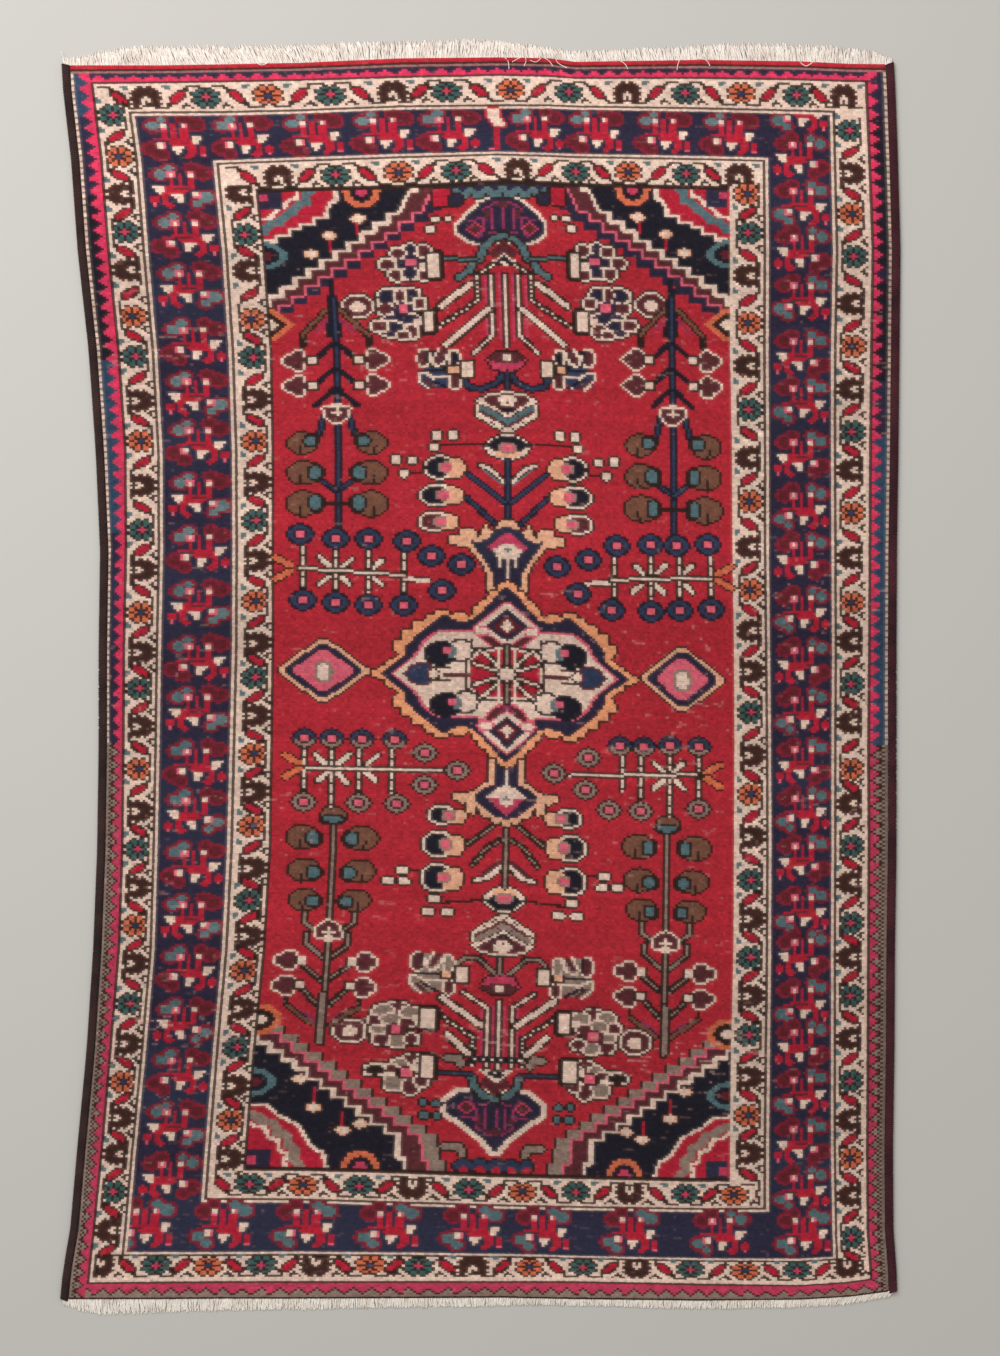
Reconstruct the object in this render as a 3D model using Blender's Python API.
# A hand-knotted village rug, laid flat on a floor.
#
# It is one pile cloth. Each long side is bound with an overcast selvedge cord, and
# the cut warps at each end make a short cotton fringe. No edge is straight: the
# loom's warps were strung unevenly, so the sides draw in at the middle and flare at
# the ends. The two tables below hold that outline.
#
# Metres, +Z up. +Y points to the end where the weaver finished. The origin is on
# the floor, under the middle of the rug.

import math
import random
from collections import namedtuple

import bmesh
import bpy
import numpy as np

MM = 0.001

# Pile cloth
CLOTH_HEIGHT = 6.5 * MM         # foundation and pile together, in the borders
WORN_AWAY = 1.1 * MM            # pile lost in the middle, where people walk
SWELL = 0.25 * MM               # slow rise and fall left by the weaver's beating
ROLLED_EDGE = 3.0 * MM          # width over which the pile rolls down to its rim
RIM_HEIGHT = 4.0 * MM           # height of the cloth's cut side
CELLS_ACROSS = 36
CELLS_UP = 44

# Overcast selvedge cord, one down each long side
SELVEDGE_WIDTH = 10.5 * MM
SELVEDGE_HEIGHT = 6.0 * MM
SELVEDGE_STEPS = 44

# Cut warp fringe, one at each end
WEB_HEIGHT = 2.6 * MM           # narrow web of bare warp and weft that holds the locks
FINISH_WEB = 4.0 * MM
START_WEB = 2.6 * MM
LOCKS = 116                     # locks on each end
LOCK_GAP = 1.3 * MM             # daylight between two locks at their roots
LOCK_WIDTHS = (0.80, 0.30)      # half way and at the tip, as shares of the root
LOCK_HEIGHTS = (2.2 * MM, 0.9 * MM)
LOCK_TOP = 0.78                 # a lock's upper face, as a share of its foot's width
UNEVEN_CUT = 0.10               # how much one lock's length differs from the next
FRINGE_SEED = 7

GAP = 0.3 * MM                  # clearance between two pieces that touch

# The rug's outer sides, in millimetres from its middle line, at distances up from
# the middle of its length.
Side = namedtuple("Side", "up left right")
SIDES = (
    Side(-898, -610, 603),
    Side(-850, -604, 600),
    Side(-800, -596, 597),
    Side(-750, -589, 595),
    Side(-700, -585, 595),
    Side(-600, -579, 597),
    Side(-500, -568, 598),
    Side(-400, -563, 599),
    Side(-300, -557, 600),
    Side(-200, -554, 602),
    Side(0, -554, 602),
    Side(100, -552, 602),
    Side(200, -551, 602),
    Side(300, -556, 604),
    Side(400, -562, 605),
    Side(500, -571, 606),
    Side(600, -583, 609),
    Side(650, -586, 610),
    Side(700, -588, 608),
    Side(750, -594, 605),
    Side(800, -600, 602),
    Side(850, -606, 600),
    Side(888, -608, 598),
)

# The rug's ends, in millimetres up from the middle of its length, at distances
# across from its middle line. The cloth stops at finish and start, and the fringe
# reaches finish_tip and start_tip. Lean is how far a lock's tip lies to the right
# for each unit of its length.
End = namedtuple("End", "across finish finish_tip finish_lean start start_tip start_lean")
ENDS = (
    End(-610, 888, 896, -0.10, -900, -908, -0.10),
    End(-575, 888, 900, -0.15, -902, -921, -0.05),
    End(-550, 888, 908, -0.15, -902, -925, 0.00),
    End(-500, 889, 916, -0.20, -902, -922, 0.00),
    End(-400, 890, 916, -0.40, -901, -917, 0.05),
    End(-300, 892, 917, -0.50, -901, -915, 0.05),
    End(-200, 896, 920, -0.30, -901, -916, 0.00),
    End(-100, 899, 922, 0.05, -900, -914, 0.00),
    End(0, 900, 925, 0.10, -899, -911, 0.00),
    End(50, 898, 919, -0.10, -900, -909, 0.00),
    End(90, 898, 915, -0.30, -901, -910, 0.00),
    End(130, 893, 909, -0.30, -902, -911, 0.05),
    End(200, 896, 912, -0.25, -903, -911, 0.05),
    End(300, 898, 917, -0.20, -904, -916, 0.05),
    End(400, 897, 920, -0.20, -904, -915, 0.05),
    End(500, 893, 916, -0.05, -903, -912, 0.15),
    End(560, 892, 913, 0.00, -898, -908, 0.35),
    End(590, 891, 903, 0.00, -892, -902, 0.50),
    End(603, 890, 898, 0.00, -889, -899, 0.40),
)


def read_smoothly(table, column, at):
    """One column of a table, in metres, on a smooth curve through its rows."""
    keys = [row[0] * MM for row in table]
    values = [getattr(row, column) for row in table]
    last = len(keys) - 1
    at = min(max(at, keys[0]), keys[last])
    i = 0
    while i < last - 1 and keys[i + 1] < at:
        i += 1

    def slope(k):
        low, high = max(k - 1, 0), min(k + 1, last)
        return (values[high] - values[low]) / (keys[high] - keys[low])

    span = keys[i + 1] - keys[i]
    u = (at - keys[i]) / span
    return (
        values[i] * (1 + 2 * u) * (1 - u) ** 2
        + slope(i) * span * u * (1 - u) ** 2
        + values[i + 1] * u * u * (3 - 2 * u)
        + slope(i + 1) * span * u * u * (u - 1)
    )


def left_side(y):
    return read_smoothly(SIDES, "left", y) * MM


def right_side(y):
    return read_smoothly(SIDES, "right", y) * MM


def start_end(x):
    return read_smoothly(ENDS, "start", x) * MM


def finish_end(x):
    return read_smoothly(ENDS, "finish", x) * MM


def on_cloth(x_at, up):
    """A point on the line x = x_at(y), the share `up` of the way from end to end."""
    y = 0.0
    for _ in range(8):
        x = x_at(y)
        y = start_end(x) + up * (finish_end(x) - start_end(x))
    return x, y


def cloth_edge(side, sign):
    """The line where the pile cloth stops and the selvedge begins."""
    return lambda y: side(y) + sign * SELVEDGE_WIDTH


def finish_object(name, mesh, colour, roughness):
    bmesh.ops.recalc_face_normals(mesh, faces=mesh.faces)
    data = bpy.data.meshes.new(name)
    mesh.to_mesh(data)
    mesh.free()
    made = bpy.data.objects.new(name, data)
    bpy.context.scene.collection.objects.link(made)
    material = bpy.data.materials.new(name)
    material.use_nodes = True
    shader = material.node_tree.nodes["Principled BSDF"]
    shader.inputs["Base Color"].default_value = (*colour, 1.0)
    shader.inputs["Roughness"].default_value = roughness
    shader.inputs["Metallic"].default_value = 0.0
    data.materials.append(material)
    return made


def join_rings(mesh, ring, after):
    """A band of faces from one ring of points to the next."""
    for k in range(len(ring)):
        n = (k + 1) % len(ring)
        mesh.faces.new((ring[k], ring[n], after[n], after[k]))


# ---- pile cloth ---------------------------------------------------------------


def with_rolled_edge(cells, length):
    """Shares from 0 to 1: even cells, with one narrow cell along each edge."""
    roll = ROLLED_EDGE / length
    inner = [roll + (1 - 2 * roll) * i / cells for i in range(cells + 1)]
    return [0.0] + inner + [1.0]


def cloth_row(up):
    """The points of one row across the cloth, from its left rim to its right."""
    left, right = cloth_edge(left_side, 1), cloth_edge(right_side, -1)
    shares = with_rolled_edge(CELLS_ACROSS, right(0) - left(0))
    return [on_cloth(lambda v: left(v) + share * (right(v) - left(v)), up) for share in shares]


def pile_height(across, up, x, y):
    """Height of the pile's tips. It is lowest in the middle, where the rug is worn."""
    wear = math.sin(math.pi * across) * math.sin(math.pi * up)
    swell = math.sin(7 * x + 2 * y) * math.cos(9 * y - 3 * x)
    return CLOTH_HEIGHT - WORN_AWAY * wear ** 2 + SWELL * swell


def make_cloth():
    shares_up = with_rolled_edge(CELLS_UP, finish_end(0) - start_end(0))
    last_i, last_j = CELLS_ACROSS + 2, CELLS_UP + 2
    mesh = bmesh.new()
    top, foot = {}, {}
    for j, up in enumerate(shares_up):
        for i, (x, y) in enumerate(cloth_row(up)):
            on_rim = i in (0, last_i) or j in (0, last_j)
            z = RIM_HEIGHT if on_rim else pile_height(i / last_i, up, x, y)
            top[i, j] = mesh.verts.new((x, y, z))
            if on_rim:
                foot[i, j] = mesh.verts.new((x, y, 0.0))
    for j in range(last_j):
        for i in range(last_i):
            mesh.faces.new((top[i, j], top[i + 1, j], top[i + 1, j + 1], top[i, j + 1]))
    rim = [(i, 0) for i in range(last_i)] + [(last_i, j) for j in range(last_j)]
    rim += [(i, last_j) for i in range(last_i, 0, -1)] + [(0, j) for j in range(last_j, 0, -1)]
    for k, here in enumerate(rim):
        after = rim[(k + 1) % len(rim)]
        mesh.faces.new((foot[here], foot[after], top[after], top[here]))
    # The flat underside is a ladder of wide strips, with one many-sided strip at
    # each end to take up the points along the start and the finish.
    for j in range(1, last_j - 1):
        mesh.faces.new((foot[0, j], foot[0, j + 1], foot[last_i, j + 1], foot[last_i, j]))
    for j, beside in ((0, 1), (last_j, last_j - 1)):
        row = [foot[i, j] for i in range(last_i + 1)]
        mesh.faces.new(row + [foot[last_i, beside], foot[0, beside]])
    return finish_object("rug_body", mesh, (0.36, 0.035, 0.045), 0.95)


# ---- selvedge cords -----------------------------------------------------------


def selvedge_section():
    """Half-oval section: share of the width out from the cloth, and height."""
    return (
        (0.06, 0.0),
        (0.86, 0.0),
        (1.0, 0.42 * SELVEDGE_HEIGHT),
        (0.80, 0.86 * SELVEDGE_HEIGHT),
        (0.40, SELVEDGE_HEIGHT),
        (0.0, 0.72 * SELVEDGE_HEIGHT),
    )


def make_selvedge(name, side, outward):
    mesh = bmesh.new()
    section = selvedge_section()
    width = SELVEDGE_WIDTH - GAP
    rings = []
    for step in range(SELVEDGE_STEPS + 1):
        ring = []
        for share, z in section:
            inset = outward * width * (share - 1)
            x, y = on_cloth(lambda v: side(v) + inset, step / SELVEDGE_STEPS)
            ring.append(mesh.verts.new((x, y, z)))
        rings.append(ring)
    for ring, after in zip(rings, rings[1:]):
        join_rings(mesh, ring, after)
    mesh.faces.new(rings[0])
    mesh.faces.new(rings[-1])
    return finish_object(name, mesh, (0.022, 0.012, 0.010), 0.9)


# ---- fringes ------------------------------------------------------------------


def lock_section(mesh, middle, half_width, y, height):
    """Four points around a lock: flat on the floor, a little narrower above."""
    narrow = half_width * LOCK_TOP
    return [
        mesh.verts.new((middle - half_width, y, 0.0)),
        mesh.verts.new((middle + half_width, y, 0.0)),
        mesh.verts.new((middle + narrow, y, height)),
        mesh.verts.new((middle - narrow, y, height)),
    ]


def make_fringe(name, up, tip_column, lean_column, web):
    """A narrow web along one end, with a row of locks grown from its outer face."""
    chance = random.Random(FRINGE_SEED)
    mesh = bmesh.new()
    outward = 1 if up > 0 else -1
    # The web keeps to the cloth's own rim, straight from each of its points to the next.
    rim_x, rim_y = zip(on_cloth(left_side, up), *cloth_row(up), on_cloth(right_side, up))
    first, last = rim_x[0], rim_x[-1]
    pitch = (last - first) / LOCKS
    half_root = (pitch - LOCK_GAP) / 2
    middles = [first + pitch * (k + 0.5) for k in range(LOCKS)]
    columns = [first] + [m + s * half_root for m in middles for s in (-1, 1)] + [last]
    inner, outer = [], []
    for x in columns:
        near = float(np.interp(x, rim_x, rim_y)) + outward * GAP
        far = near + outward * web
        inner.append([mesh.verts.new((x, near, z)) for z in (0.0, WEB_HEIGHT)])
        outer.append([mesh.verts.new((x, far, z)) for z in (0.0, WEB_HEIGHT)])
    for c in range(len(columns) - 1):
        (near_foot, near_top), (next_near_foot, next_near_top) = inner[c], inner[c + 1]
        (far_foot, far_top), (next_far_foot, next_far_top) = outer[c], outer[c + 1]
        mesh.faces.new((near_foot, next_near_foot, next_near_top, near_top))
        mesh.faces.new((near_top, next_near_top, next_far_top, far_top))
        mesh.faces.new((near_foot, far_foot, next_far_foot, next_near_foot))
        between_locks = c % 2 == 0
        if between_locks:
            mesh.faces.new((far_foot, far_top, next_far_top, next_far_foot))
    for c in (0, len(columns) - 1):
        mesh.faces.new((inner[c][0], inner[c][1], outer[c][1], outer[c][0]))
    for k, middle in enumerate(middles):
        left, right = outer[2 * k + 1], outer[2 * k + 2]
        ring = [left[0], right[0], right[1], left[1]]
        root_y = (left[0].co.y + right[0].co.y) / 2
        reach = read_smoothly(ENDS, tip_column, middle) * MM - root_y
        reach *= 1 - chance.uniform(0, UNEVEN_CUT)
        sway = read_smoothly(ENDS, lean_column, middle) * abs(reach)
        for along, share, height in zip((0.5, 1.0), LOCK_WIDTHS, LOCK_HEIGHTS):
            after = lock_section(
                mesh, middle + sway * along, half_root * share, root_y + reach * along, height
            )
            join_rings(mesh, ring, after)
            ring = after
        mesh.faces.new(ring)
    return finish_object(name, mesh, (0.74, 0.68, 0.58), 0.9)


def main():
    for old in list(bpy.data.objects):
        bpy.data.objects.remove(old, do_unlink=True)
    make_cloth()
    make_selvedge("selvedge_left", left_side, -1)
    make_selvedge("selvedge_right", right_side, 1)
    make_fringe("fringe_finish", 1, "finish_tip", "finish_lean", FINISH_WEB)
    make_fringe("fringe_start", 0, "start_tip", "start_lean", START_WEB)


main()
